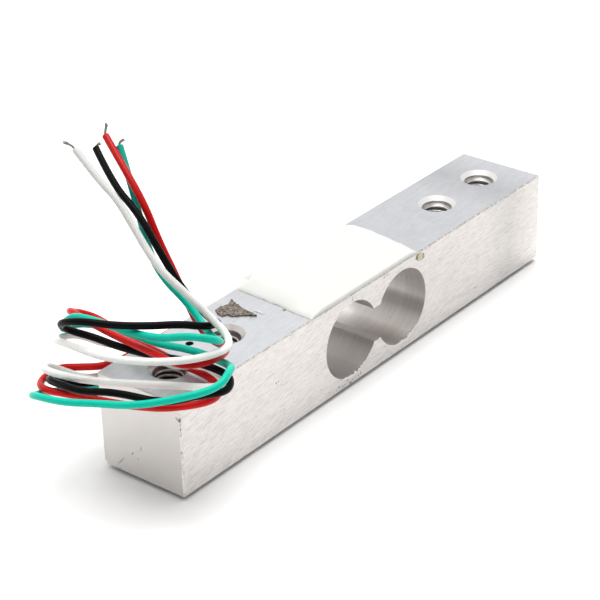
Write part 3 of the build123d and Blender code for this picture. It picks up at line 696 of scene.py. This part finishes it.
def silicone_material():
    """Cured white silicone: smooth, slightly translucent, faint lumps, a little dust and a thin painted grey shade
    along its foot.
    """
    colour = settings("silicone").colour
    tree = MaterialTree("White silicone", colour, 0.0, 0.42)
    tree.lit_through(0.25, (0.0012, 0.0011, 0.0009))
    lumps = tree.grain(0.6, 3.0, 0.5)
    pores = tree.grain(9, 2.0, 0.5)
    tree.bump(tree.plus(lumps, tree.times(pores, 0.06)), 0.05 * MM, 0.6)
    base = tree.blend(tree.span(lumps, 0.35, 0.65), tone(colour, 0.985), colour)
    base = tree.coat(base, (0.55, 0.52, 0.46), tree.span(tree.grain(2.6, 2.0, 0.5), 0.80, 0.83), 0.5)
    z = tree.axes()[2]
    # Painted shade: grey along the foot of the silicone, where it meets the bar's top face
    base = tree.coat(base, (0.50, 0.50, 0.455), tree.fade(z, 13.22, 13.5), tree.span(z, 13.19, 13.2), 0.8)
    tree.set("Base Color", base)
    tree.set("Roughness", tree.span(pores, 0.3, 0.7, 0.38, 0.48))
    return tree.material


def residue_material():
    """Dried adhesive with dirt: brown-grey, rough, darker in its cracks."""
    colour = settings("silicone").residue_colour
    tree = MaterialTree("Dried adhesive", colour, 0.0, 0.8)
    coarse = tree.grain(1.8, 4.0, 0.65)
    fine = tree.grain(8)
    base = tree.blend(tree.span(coarse, 0.35, 0.68), tone(colour, 0.5), (0.33, 0.28, 0.235))
    base = tree.coat(base, (0.62, 0.56, 0.5), tree.span(fine, 0.58, 0.72, 0.0, 0.7))
    cracks = tree.grain((3.2, 5.0, 3.2), 2.0, 0.5)
    tree.set("Base Color", tree.coat(base, (0.05, 0.038, 0.03), tree.fade(cracks, 0.40, 0.46, 0.85)))
    tree.bump(tree.plus(coarse, tree.times(fine, 0.4)), 0.12 * MM, 0.9)
    return tree.material


def amber_material():
    """Dried amber adhesive: paler in the middle, with painted brown shade round its rim."""
    tree = MaterialTree("Amber adhesive", (0.6, 0.54, 0.42), 0.0, 0.4)
    x, _, z = tree.axes()
    grain = tree.grain(3)
    # Painted shade: brown round the rim of the spot
    off = tree.distance(tree.minus(x, SPOT_MIDDLE[0]), tree.minus(z, SPOT_MIDDLE[1]))
    off = tree.span(tree.plus(off, tree.times(grain, 0.4)), 0.62, 0.95)
    tree.set("Base Color", tree.blend(off, (0.58, 0.53, 0.41), (0.30, 0.25, 0.16)))
    tree.bump(grain, 0.02 * MM, 0.6)
    return tree.material


def insulation_material(name, colour, translucent, ends):
    """Extruded insulation: smooth gloss with faint handling marks, and painted shade that darkens it by ends toward the
    free end.
    """
    tree = MaterialTree(name, colour, 0.0, 0.3)
    tree.set("Specular IOR Level", 0.05 if max(colour) < 0.1 else 0.17)
    marks = tree.grain(1.2, 3.0, 0.55)
    fine = tree.grain(12, 2.0, 0.5)
    tree.bump(tree.plus(tree.times(marks, 0.5), tree.times(fine, 0.2)), 0.012 * MM, 0.5)
    tree.set("Roughness", tree.span(marks, 0.3, 0.7, 0.26, 0.38))
    z = tree.axes()[2]
    # Painted shade: darker from 19 to 29 mm up, toward the free end
    tree.set("Base Color", tree.dim(tree.mottled(marks, colour, 0.93), tree.span(z, 19.0, 29.0, 1.0, ends)))
    tree.lit_through(translucent, (0.0004, 0.0004, 0.0004))
    return tree.material


def coated_material(name, colour, roughness, fineness, spread):
    """Film, laminate, enamel: one colour with a fine weave or grain in it."""
    tree = MaterialTree(name, colour, 0.0, roughness)
    grain = tree.grain(fineness)
    tree.set("Base Color", tree.mottled(grain, colour, 1 - spread))
    tree.bump(grain, 0.004 * MM, 0.6)
    return tree.material



class CELL_OT_stage(bpy.types.Operator):
    """Floor, camera and lights"""
    bl_idname = "cell.stage"
    bl_label = "Stage"

    def execute(self, context):
        stage = settings("stage")
        context.scene.view_settings.view_transform = "Standard"
        self.make_floor(stage)
        self.make_world(context, stage)
        self.make_camera(context)
        self.make_lamp(stage)
        return {"FINISHED"}

    def make_floor(self, stage):
        bm = bmesh.new()
        bmesh.ops.create_grid(bm, x_segments=1, y_segments=1, size=stage.floor_size / 2)
        floor = mesh_piece("floor", bm)
        show(floor)
        tree = MaterialTree("Pale floor", stage.floor_colour, 0.0, 1.0)
        tree.set("Specular IOR Level", 0.0)
        rays = tree.add("LightPath").outputs
        seen = tree.maths("MAXIMUM", rays["Is Camera Ray"], rays["Is Glossy Ray"])
        seen = tree.maths("MAXIMUM", seen, rays["Is Transmission Ray"])
        glow = tree.add("Emission")
        tree.put(tree.times(seen, stage.floor_lift), glow.inputs["Strength"])
        both = tree.add("AddShader")
        tree.put(tree.shader.outputs[0], both.inputs[0])
        tree.put(glow.outputs[0], both.inputs[1])
        tree.put(both.outputs[0], tree.nodes["Material Output"].inputs["Surface"])
        floor.data.materials.append(tree.material)

    def make_world(self, context, stage):
        world = bpy.data.worlds.new("Soft surroundings")
        context.scene.world = world
        tree = Tree(world)
        rays = tree.add("LightPath").outputs
        direction = tree.add("TexCoord").outputs["Generated"]
        matt, gloss, white = tree.nodes["Background"], tree.add("Background"), tree.add("Background")
        for light, colour in ((matt, stage.sky_colour), (gloss, stage.sky_colour), (white, (1, 1, 1))):
            light.inputs["Color"].default_value = (*colour, 1)
        for light, side, span, strengths in (
                (gloss, BACKDROP_SIDE, BACKDROP_SPAN, (stage.room_mirrored, stage.backdrop_mirrored)),
                (matt, SKY_SIDE, SKY_SPAN, (stage.horizon_strength, stage.sky_strength))):
            towards = tree.add("VectorMath")
            towards.operation = "DOT_PRODUCT"
            tree.put(direction, towards.inputs[0])
            tree.put(side, towards.inputs[1])
            rise = tree.span(towards.outputs["Value"], *span, *strengths)
            rise.node.interpolation_type = "SMOOTHSTEP"
            tree.put(rise, light.inputs["Strength"])
        # Gloss sees the backdrop only where no matt surface lies between
        direct = tree.times(tree.maths("LESS_THAN", rays["Diffuse Depth"], 0.5), rays["Is Glossy Ray"])
        last = matt.outputs[0]
        for ray, light in ((direct, gloss), (rays["Is Transmission Ray"], white), (rays["Is Camera Ray"], white)):
            mix = tree.add("MixShader")
            for value, socket in zip((ray, last, light.outputs[0]), mix.inputs):
                tree.put(value, socket)
            last = mix.outputs[0]
        tree.put(last, tree.nodes["World Output"].inputs["Surface"])

    def make_camera(self, context):
        heading, dip, roll = (math.radians(a) for a in (CAMERA_HEADING, CAMERA_DIP, CAMERA_ROLL))
        ahead = Vector((math.sin(heading) * math.cos(dip), math.cos(heading) * math.cos(dip), -math.sin(dip)))
        right = ahead.cross(Vector((0, 0, 1))).normalized()
        up = right.cross(ahead)
        turned_right = right * math.cos(roll) + up * math.sin(roll)
        turned_up = up * math.cos(roll) - right * math.sin(roll)
        data = bpy.data.cameras.new("Camera")
        data.sensor_width = SENSOR_WIDTH
        data.lens = SENSOR_WIDTH * CAMERA_FOCAL / FRAME_PIXELS
        data.clip_start = 0.01
        camera = bpy.data.objects.new("Camera", data)
        show(camera)
        axes = Matrix((turned_right, turned_up, -ahead)).transposed().to_4x4()
        camera.matrix_world = Matrix.Translation(Vector(CAMERA_PLACE) * MM) @ axes
        context.scene.camera = camera

    def make_lamp(self, stage):
        data = bpy.data.lights.new("Key lamp", "AREA")
        data.shape = "DISK"
        data.size = LAMP_SIZE
        data.energy = stage.key_power
        lamp = bpy.data.objects.new("Key lamp", data)
        lamp.location = LAMP_PLACE
        lamp.rotation_euler = (Vector(LAMP_TARGET) - Vector(LAMP_PLACE)).to_track_quat("-Z", "Y").to_euler()
        show(lamp)


def nurbs_curve(name, points, bevel, steps):
    """Open smooth curve with the given control points, in metres."""
    curve = bpy.data.curves.new(name, "CURVE")
    curve.dimensions = "3D"
    spline = curve.splines.new("NURBS")
    spline.points.add(len(points) - 1)
    for point, place in zip(spline.points, points):
        point.co = (*place, 1)
    spline.order_u = 3
    spline.use_endpoint_u = True
    curve.resolution_u = steps
    curve.bevel_depth = bevel
    curve.bevel_resolution = 4
    curve.use_fill_caps = True
    return bpy.data.objects.new(name, curve)


def points_along(points):
    """Places along the smooth line that has these control points."""
    helper = nurbs_curve("line", points, bevel=0.0, steps=16)
    mesh = evaluated_mesh(helper)
    places = [v.co.copy() for v in mesh.vertices]
    bpy.data.objects.remove(helper)
    bpy.data.meshes.remove(mesh)
    return places


class CELL_OT_leads(bpy.types.Operator):
    """Four insulated leads with stripped, stranded ends"""
    bl_idname = "cell.leads"
    bl_label = "Leads"

    def execute(self, context):
        leads = settings("leads")
        tinned = bright_metal("Tinned strands", (0.42, 0.38, 0.35), 0.38, 10.0)
        for colour in COLOURS:
            way = [Vector(p) * MM for p in LEAD_WAYS[colour]]
            lead = nurbs_curve(f"{colour}_lead", way, bevel=leads.diameter / 2, steps=8)
            paint = insulation_material(
                f"{colour.title()} insulation", getattr(leads, colour), 0.2 if colour == "white" else 0.0,
                LEAD_END_SHADE[colour])
            finish_piece(lead, paint, [f"lead_{colour}"])
            tip = self.make_tip(colour, way, leads)
            finish_piece(tip, tinned, [f"core_end_{colour}"])
        return {"FINISHED"}

    def make_tip(self, colour, way, leads):
        """Strands twisted round a middle one, the last of them, and opening a little at the end."""
        end = way[-1]
        along = (end - way[-2]).normalized()
        inside, outside = 0.4 * MM, 0.2 * MM
        controls = [end - along * inside, end, end + along * outside]
        controls += [end + Vector(p) * MM for p in TIP_WAYS[colour]]
        line = points_along(controls)
        curve = bpy.data.curves.new(f"{colour}_stripped_end", "CURVE")
        curve.dimensions = "3D"
        curve.bevel_depth = leads.strand_diameter / 2
        curve.bevel_resolution = 2
        curve.use_fill_caps = True
        chance = random.Random(COLOURS.index(colour))
        across = along.orthogonal().normalized()
        twist = 5.0
        for strand in range(leads.strand_count + 1):
            middle = strand == leads.strand_count
            start = math.tau * strand / leads.strand_count
            trim = 0 if strand == 0 else chance.randrange(0, 5)
            flare = 0.0 if middle else chance.uniform(0.2, 0.9)
            places = []
            side = across.copy()
            for i, place in enumerate(line[:len(line) - trim]):
                ahead = (line[min(i + 1, len(line) - 1)] - line[max(i - 1, 0)]).normalized()
                side = (side - ahead * side.dot(ahead)).normalized()
                share = i / len(line)
                angle = start + twist * share
                reach = 0.0 if middle else leads.strand_diameter * (1.0 + flare * step(share, 0.75, 1.0))
                places.append(place + (side * math.cos(angle) + ahead.cross(side) * math.sin(angle)) * reach)
            spline = curve.splines.new("POLY")
            spline.points.add(len(places) - 1)
            for point, place in zip(spline.points, places):
                point.co = (*place, 1)
        return bpy.data.objects.new(curve.name, curve)


class CELL_OT_bar(bpy.types.Operator):
    """Milled bar, its threads and the burrs along its edges"""
    bl_idname = "cell.bar"
    bl_label = "Bar"

    def execute(self, context):
        # Painted shade on the thread flanks: deep in the holes at the lead end, light in those at the load end
        deep_shaded_thread = thread_material("Oily thread", (0.10, 0.07, 0.065))
        light_shaded_thread = thread_material("Clean thread", (0.40, 0.38, 0.37))
        burr_metal = bright_metal("Burr", (0.88, 0.87, 0.86), 0.3, 12.0)
        self.make_bar(aluminium_material())
        for end, side, material in ((-1, "lead", deep_shaded_thread), (1, "load", light_shaded_thread)):
            for x in HOLE_PLACES:
                finish_piece(self.make_thread(f"thread_{side}_{int(x)}", end * x * MM), material)
        finish_piece(self.make_edge_burr(), burr_metal)
        # From and to which angle in degrees each burr runs, and how proud it stands in millimetres
        for name, centre, first, last, proud in (("near", -BORE_X, -112, -38, 0.55), ("far", BORE_X, -104, -52, 0.75)):
            rim = self.make_rim_burr(f"{name}_bore_burr", centre, first, last, proud)
            finish_piece(rim, burr_metal)
        return {"FINISHED"}

    def make_bar(self, metal):
        """The frame's bar with its dents cut out, merged and shaded smooth round its bores."""
        bm = bmesh.new()
        bm.from_mesh(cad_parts["spring_element"].data)
        bmesh.ops.remove_doubles(bm, verts=bm.verts[:], dist=1e-6)
        bar = mesh_piece("bar", bm)
        cutter = self.make_nicks()
        cut = bar.modifiers.new("dents", "BOOLEAN")
        cut.operation = "DIFFERENCE"
        cut.solver = "EXACT"
        cut.use_self = True
        cut.object = cutter
        apply_modifiers(bar)
        bpy.data.objects.remove(cutter)
        bm = bmesh.new()
        bm.from_mesh(bar.data)
        bmesh.ops.dissolve_limit(bm, angle_limit=math.radians(0.5), verts=bm.verts[:], edges=bm.edges[:])
        smooth_faces(bm, 28)
        bm.to_mesh(bar.data)
        bm.free()
        finish_piece(bar, metal, ["spring_element"])

    def make_nicks(self):
        """Uneven small lumps where dents and scratches are to be cut."""
        bm = bmesh.new()
        up = Vector((0, 0, 1))
        rows = [(face, level, *row) for face, level, rows in NICKS for row in rows]
        for number, (face, level, offset, height, long, short, deep, turn) in enumerate(rows):
            on_side = face == "side"
            middle = Vector((offset, level, height) if on_side else (level, offset, height))
            across = Vector((1, 0, 0) if on_side else (0, 1, 0))
            turn = math.radians(turn)
            along = across * math.cos(turn) + up * math.sin(turn)
            side = up * math.cos(turn) - across * math.sin(turn)
            made = bmesh.ops.create_icosphere(bm, subdivisions=2, radius=1.0)
            for vert in made["verts"]:
                lump = vert.co * (1.0 + 0.35 * noise.noise(vert.co * 1.6 + Vector((number * 3.7, 0, 0))))
                vert.co = (middle + along * lump.x * long + side * lump.y * short
                           + along.cross(side) * lump.z * deep) * MM
        cutter = mesh_piece("dents", bm)
        show(cutter)
        return cutter

    def make_thread(self, name, x):
        """Ridge of the thread on the wall of its bore, fading out under both countersinks."""
        bar = settings("bar")
        major, minor, pitch = bar.thread_major, bar.thread_minor, bar.thread_pitch
        steps = 40
        low, high = BAR_BOTTOM + bar.sink_depth, BAR_TOP - bar.sink_depth
        turns = (high - low) / pitch - 1.0
        root, crest = 0.46 * pitch, 0.1 * pitch
        bm = bmesh.new()
        shape = ((major, -root), (minor, -crest), (minor, crest), (major, root))
        profile = bm.faces.new([bm.verts.new((r, 0, low + pitch / 2 + z)) for r, z in shape])
        bmesh.ops.spin(
            bm, geom=[profile], cent=(0, 0, 0), axis=(0, 0, 1), dvec=(0, 0, pitch / steps),
            angle=math.tau * turns, steps=int(steps * turns), use_duplicate=False)
        crests = bm.verts.layers.float.new("crest")
        for vert in bm.verts:
            reach = math.hypot(vert.co.x, vert.co.y)
            room = min(vert.co.z - low, high - vert.co.z)
            depth = (major - reach) * step(room, 0.1 * MM, 0.75 * MM)
            vert.co.x *= (major - depth) / reach
            vert.co.y *= (major - depth) / reach
            vert[crests] = depth / (major - minor)
        bmesh.ops.translate(bm, verts=bm.verts[:], vec=(x, 0, 0))
        bmesh.ops.recalc_face_normals(bm, faces=bm.faces[:])
        return mesh_piece(name, bm, 25)

    def make_edge_burr(self):
        """Thin ragged sliver left along the top edge of the visible side."""
        bm = bmesh.new()
        length = BAR_HIGH[0] - BAR_LOW[0] - 0.6 * MM
        width = 0.17 * MM
        bmesh.ops.create_grid(bm, x_segments=900, y_segments=2, size=0.5)
        for vert in bm.verts:
            x, across = vert.co.x * length, vert.co.y
            ragged = noise.noise(Vector((x / MM * 1.7, 3.1, 0))) + 0.6 * noise.noise(Vector((x / MM * 6.0, 8.4, 0)))
            lift = (0.01 + 0.055 * max(ragged, 0.0)) * MM * (1.0 - abs(across) * 2.0)
            vert.co = (x, -SIDE + (across + 0.5) * width - lift * 0.4, BAR_TOP - (0.5 - across) * width + lift)
        thicken(bm, (0, 0.06 * MM, -0.06 * MM))
        return mesh_piece("top_edge_burr", bm, 60)

    def make_rim_burr(self, name, centre, first, last, proud):
        """Ragged lip that the boring left round part of a bore's rim."""
        bm = bmesh.new()
        rim = BORE_RADIUS + 0.04
        bmesh.ops.create_grid(bm, x_segments=320, y_segments=3, size=0.5)
        for vert in bm.verts:
            share = vert.co.x + 0.5
            angle = math.radians(lerp(first, last, share))
            ragged = noise.noise(Vector((share * 30, centre, 1.5)))
            ragged += 0.7 * noise.noise(Vector((share * 90, centre, 4.5)))
            fade = step(share, 0, 0.2) * step(1 - share, 0, 0.2)
            lift = (0.02 + 0.4 * proud * max(ragged, 0.0) * fade) * MM
            width = 0.05 + proud * max(ragged + 0.15, 0.0) * fade
            reach = rim - (0.5 - vert.co.y) * width
            vert.co = (
                (centre + reach * math.cos(angle)) * MM, -SIDE - lift * (1.0 - abs(vert.co.y) * 2.0),
                (MID_HEIGHT + reach * math.sin(angle)) * MM)
        thicken(bm, (0, 0.07 * MM, 0))
        return mesh_piece(name, bm, 60)


class CELL_OT_silicone(bpy.types.Operator):
    """Silicone over the gauges, the board and the wires, and the dried adhesive beside it"""
    bl_idname = "cell.silicone"
    bl_label = "Silicone and adhesive"

    def execute(self, context):
        paste, residue = silicone_material(), residue_material()
        back_thickness = settings("silicone").back_thickness / MM
        on_top = Matrix.Translation((0, 0, BAR_TOP))
        on_side = Matrix.Translation((0, -SIDE, 0)) @ Matrix.Rotation(math.radians(90), 4, "X")
        finish_piece(self.make_top(), paste, ["top_silicone"])
        for name, outline, thickness, on_back in (
                ("back", BACK_OUTLINE, back_thickness, True), ("bottom", BOTTOM_OUTLINE, BOTTOM_THICKNESS, False)):
            cover = self.make_poured(f"{name}_cover", outline, thickness, on_back)
            finish_piece(cover, paste, [f"{name}_silicone"])
        # Sizes are the thickness and the voxel in millimetres, then the seed of the ragged outline
        for name, outline, sizes, place, material, slot_name, replaces in (
                ("dried_adhesive", RESIDUE_OUTLINE, (0.32, 0.05, 1.0), on_top, residue, "residue",
                 ["adhesive_residue"]),
                ("amber_spot", SPOT_OUTLINE, (0.14, 0.04, 5.0), on_side, amber_material(), "amber_adhesive",
                 ["adhesive_spot"]),
                ("silicone_crumb", CRUMB_OUTLINE, (0.12, 0.04, 3.0), on_top, paste, "silicone", ()),
                ("dirt_speck", SPECK_OUTLINE, (0.12, 0.04, 3.0), on_top, residue, "residue", ())):
            flake = self.make_flake(name, outline, *sizes)
            flake.data.transform(place)
            finish_piece(flake, material, replaces)
        return {"FINISHED"}

    def make_top(self):
        """Spread silicone: feathered near and far edges, a full front edge and a lip over the back edge."""
        height = settings("silicone").height
        bm = bmesh.new()
        bmesh.ops.create_grid(bm, x_segments=150, y_segments=96, size=0.5)
        for vert in bm.verts:
            across, up = vert.co.x + 0.5, vert.co.y + 0.5
            y = lerp(TOP_FRONT, TOP_BACK, up)
            near, far = along_table(TOP_NEAR_EDGE, y), along_table(TOP_FAR_EDGE, y)
            wander = 0.12 * noise.noise(Vector((0, y * 0.9, 2.0)))
            x = lerp(near + wander, far - wander, across)
            lip = step(x, LIP[0] - 0.6, LIP[0] + 1.2) * step(-x, -LIP[1] - 1.4, -LIP[1] + 0.2)
            y += LIP_REACH * lip * step(up, 0.7, 1.0)
            y += 0.06 * noise.noise(Vector((x * 0.7, 5.0, 0))) * (step(up, 0.9, 1.0) + step(1 - up, 0.9, 1.0))
            rise = self.top_height(x, y, up, near, far, lip) * height
            vert.co = (x * MM, max(y, TOP_FRONT) * MM, BAR_TOP + rise)
        for vert in doubled(bm):
            vert.co.z = BAR_TOP
        bmesh.ops.recalc_face_normals(bm, faces=bm.faces[:])
        return mesh_piece("top_cover", bm, 50)

    def top_height(self, x, y, up, near, far, lip):
        """Share of the full height at a place on the silicone."""
        to_near = (x - near) / 2.4
        to_far = (far - x) / 1.8
        to_front = (y - TOP_FRONT) / 0.3
        back_room = lerp(0.9, 1.6, lip)
        to_back = (1 - up) * (TOP_BACK - TOP_FRONT + LIP_REACH * lip) / back_room
        share = 1.0
        for room, power in ((to_near, 1.25), (to_far, 1.4), (to_front, 2.0), (to_back, 1.8)):
            room = min(max(room, 0.0), 1.0)
            share *= (1 - (1 - room) ** power) ** (1 / power)
        waves = noise.noise(Vector((x * 0.22, y * 0.28, 7.0))) * 0.05
        front_slope = lerp(0.5, 1.0, step(y, TOP_FRONT, TOP_FRONT + 4.5))
        return 0.03 + share * (0.92 + waves) * front_slope

    def make_poured(self, name, outline, thickness, on_back):
        """Silicone with a soft, slightly lumpy skin, on the back or the bottom face."""
        bm = bmesh.new()
        bm.faces.new([bm.verts.new((x * MM, SIDE, v * MM) if on_back else (x * MM, v * MM, 0)) for x, v in outline])
        thicken(bm, (0, thickness * MM, 0) if on_back else (0, 0, thickness * MM))
        cover = mesh_piece(name, bm)
        remesh(cover, 0.16, smoothing=4)
        for vert in cover.data.vertices:
            place = vert.co / MM
            push = noise.noise(place * 0.5) * 0.07 + noise.noise(place * 1.7) * 0.02
            if on_back:
                fall = step(vert.co.y, SIDE + 0.2 * MM, SIDE + thickness * MM)
                vert.co.y = max(vert.co.y + (push - 0.07) * fall * MM, SIDE)
                if place.x > -11.5:
                    vert.co.z = min(vert.co.z, BAR_TOP)
            else:
                vert.co.x += push * MM * 1.5
                vert.co.z = min(max(vert.co.z, 0.0), thickness * MM)
        cover.data.polygons.foreach_set("use_smooth", [True] * len(cover.data.polygons))
        return cover

    def make_flake(self, name, outline, thickness, voxel, seed):
        """Thin crumbly flake with a ragged outline, drawn in the XY plane."""
        bm = bmesh.new()
        bm.faces.new([bm.verts.new((x * MM, y * MM, 0)) for x, y in outline])
        bmesh.ops.subdivide_edges(bm, edges=bm.edges[:], cuts=4, use_grid_fill=False)
        for vert in bm.verts:
            place = vert.co / MM
            vert.co.x += noise.noise(Vector((place.x * 3, place.y * 3, seed))) * 0.16 * MM
            vert.co.y += noise.noise(Vector((place.x * 3, place.y * 3, seed + 9))) * 0.16 * MM
        thicken(bm, (0, 0, thickness * MM))
        flake = mesh_piece(name, bm)
        remesh(flake, voxel)
        for vert in flake.data.vertices:
            place = vert.co / MM
            if place.z > thickness * 0.4:
                rough = 0.5 + 0.7 * noise.noise(place * 2.2) + 0.35 * noise.noise(place * 6.0)
                vert.co.z *= min(max(rough, 0.12), 1.0)
            vert.co.z = max(vert.co.z, 0.0)
        return flake


class CELL_OT_inside(bpy.types.Operator):
    """Finishes of the gauges, the wires, the terminal board and its solder"""
    bl_idname = "cell.inside"
    bl_label = "Gauges and board"

    def execute(self, context):
        solder = bright_metal("Solder", (0.70, 0.70, 0.72), 0.28, 5.0)
        finishes = {
            "gauge_film": coated_material("Gauge film", (0.50, 0.26, 0.05), 0.3, 2.0, 0.12),
            "gauge_grid": bright_metal("Gauge foil", (0.58, 0.53, 0.45), 0.3, 14.0),
            "gauge_solder": solder,
            "board_solder": solder,
            "board_pads": bright_metal("Copper pads", (0.83, 0.48, 0.30), 0.32, 7.0),
            "core_inside": bright_metal("Tinned core", (0.62, 0.59, 0.56), 0.3, 9.0),
            "terminal_board": coated_material("Board laminate", (0.03, 0.20, 0.07), 0.35, 4.0, 0.3),
            "jumper": coated_material("Wire enamel", (0.42, 0.13, 0.04), 0.22, 6.0, 0.2),
        }
        for name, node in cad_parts.items():
            for start, material in finishes.items():
                if name.startswith(start):
                    node.data.materials.clear()
                    node.data.materials.append(material)
        return {"FINISHED"}


class CELL_PT_panel(bpy.types.Panel):
    """Buttons that build the cell's pieces"""
    bl_label = "Load cell"
    bl_idname = "CELL_PT_panel"
    bl_space_type = "VIEW_3D"
    bl_region_type = "UI"
    bl_category = "Load cell"

    def draw(self, context):
        for operator in OPERATORS:
            self.layout.operator(operator.bl_idname)


OPERATORS = (CELL_OT_stage, CELL_OT_leads, CELL_OT_bar, CELL_OT_silicone, CELL_OT_inside)
GROUPS = {"stage": StageSettings, "bar": BarSettings, "silicone": SiliconeSettings, "leads": LeadSettings}


def register():
    for cls in (*GROUPS.values(), *OPERATORS, CELL_PT_panel):
        bpy.utils.register_class(cls)
    for name, cls in GROUPS.items():
        setattr(bpy.types.Scene, f"cell_{name}", bpy.props.PointerProperty(type=cls))


def unregister():
    for name in GROUPS:
        delattr(bpy.types.Scene, f"cell_{name}")
    for cls in reversed((*GROUPS.values(), *OPERATORS, CELL_PT_panel)):
        bpy.utils.unregister_class(cls)


def main():
    register()
    bpy.ops.cell.stage()
    bpy.ops.cell.leads()
    bpy.ops.cell.bar()
    bpy.ops.cell.silicone()
    bpy.ops.cell.inside()


if __name__ == "__main__":
    main()
